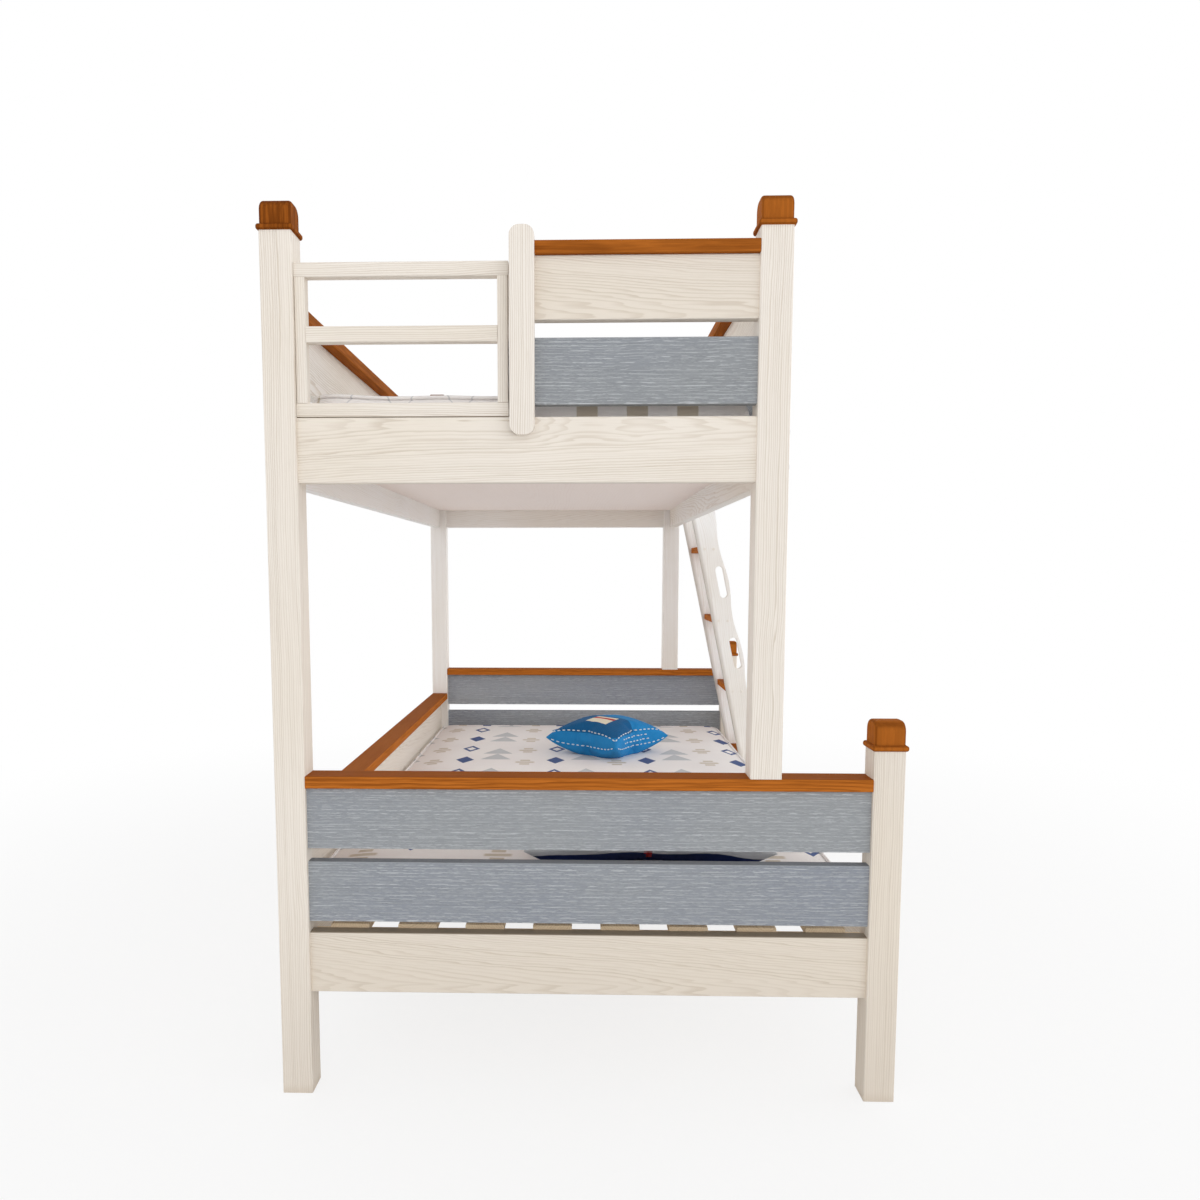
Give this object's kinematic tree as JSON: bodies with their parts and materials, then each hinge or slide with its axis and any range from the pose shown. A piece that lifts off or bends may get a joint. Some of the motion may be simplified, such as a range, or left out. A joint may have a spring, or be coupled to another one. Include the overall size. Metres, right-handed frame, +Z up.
{
  "type": "bunk bed",
  "caption": "Wooden bunk bed with a wide lower bed, a narrower railed upper bed, brown caps, grey end boards, a hook-on leaning ladder, a lift-out end frame and mattresses.",
  "frame": {"origin": "middle of the part's box, on the floor", "axes": "+X across from the wall side to the ladder side, +Y from foot to head, +Z up"},
  "size_m": [1.444, 2.182, 1.87],
  "materials": {
    "whitewashed_pine": "white-washed pine, satin",
    "honey_pine": "honey brown stained pine, satin",
    "grey_pine": "blue-grey brushed pine, matt",
    "plywood": "pale veneered plywood, matt",
    "raw_pine": "bare pine",
    "zinc_steel": "zinc plated steel",
    "lower_mattress_fabric": "off-white cotton with a small geometric print",
    "upper_mattress_fabric": "off-white cotton with a sparse geometric print",
    "cushion_fabric": "blue cotton",
    "pillow_fabric": "pale grey cotton with a navy edge"
  },
  "bodies": {
    "bed_frame": {"post_front_wall": "whitewashed_pine", "post_back_wall": "whitewashed_pine", "post_front_open": "whitewashed_pine", "post_back_open": "whitewashed_pine", "post_upper_front": "whitewashed_pine", "post_upper_back": "whitewashed_pine", "foot_rail": "whitewashed_pine", "head_rail": "whitewashed_pine", "wall_rail": "whitewashed_pine", "open_rail": "whitewashed_pine", "wall_board": "whitewashed_pine", "deck_rail_foot": "whitewashed_pine", "deck_rail_head": "whitewashed_pine", "deck_rail_wall": "whitewashed_pine", "deck_rail_open": "whitewashed_pine", "foot_guard_stile": "whitewashed_pine", "foot_guard_board": "whitewashed_pine", "head_guard_board": "whitewashed_pine", "wall_guard_board": "whitewashed_pine", "open_guard_stile": "whitewashed_pine", "open_guard_board": "whitewashed_pine", "finials": "honey_pine", "foot_cap": "honey_pine", "head_cap": "honey_pine", "wall_cap": "honey_pine", "foot_guard_cap": "honey_pine", "head_guard_cap": "honey_pine", "wall_guard_cap": "honey_pine", "open_guard_cap": "honey_pine", "foot_board_lower": "grey_pine", "foot_board_upper": "grey_pine", "head_board_lower": "grey_pine", "head_board_upper": "grey_pine", "foot_guard_panel": "grey_pine", "head_guard_panel": "grey_pine", "open_guard_panel": "grey_pine", "deck_panel": "plywood", "slats": "raw_pine", "cross_bearers": "raw_pine", "slat_cleats": "raw_pine", "corner_brackets": "zinc_steel", "bracket_screws": "zinc_steel", "end_bolts": "zinc_steel", "stile_screws": "zinc_steel"},
    "ladder": {"ladder_stringer_near": "whitewashed_pine", "ladder_stringer_far": "whitewashed_pine", "ladder_treads": "honey_pine", "ladder_hooks": "zinc_steel", "ladder_screws": "zinc_steel"},
    "access_frame": {"access_bottom_rail": "whitewashed_pine", "access_top_rail": "whitewashed_pine", "access_middle_rail": "whitewashed_pine", "access_stiles": "whitewashed_pine", "access_pins": "raw_pine"},
    "lower_mattress": {"lower_mattress": "lower_mattress_fabric"},
    "upper_mattress": {"upper_mattress": "upper_mattress_fabric"},
    "throw_cushion": {"throw_cushion": "cushion_fabric"},
    "pillow": {"pillow": "pillow_fabric"}
  },
  "joints": [
    {"name": "ladder_lift", "type": "slide", "parent": "bed_frame", "child": "ladder", "axis": [0, 0, 1], "range_m": [0, 0.12]},
    {"name": "access_frame_lift", "type": "slide", "parent": "bed_frame", "child": "access_frame", "axis": [0, 0, 1], "range_m": [0, 0.05]},
    {"name": "lower_mattress_lift", "type": "slide", "parent": "bed_frame", "child": "lower_mattress", "axis": [0, 0, 1], "range_m": [0, 0.08]},
    {"name": "upper_mattress_lift", "type": "slide", "parent": "bed_frame", "child": "upper_mattress", "axis": [0, 0, 1], "range_m": [0, 0.15]},
    {"name": "cushion_lift", "type": "slide", "parent": "lower_mattress", "child": "throw_cushion", "axis": [0, 0, 1], "range_m": [0, 0.3]},
    {"name": "pillow_lift", "type": "slide", "parent": "lower_mattress", "child": "pillow", "axis": [0, 0, 1], "range_m": [0, 0.3]}
  ]
}
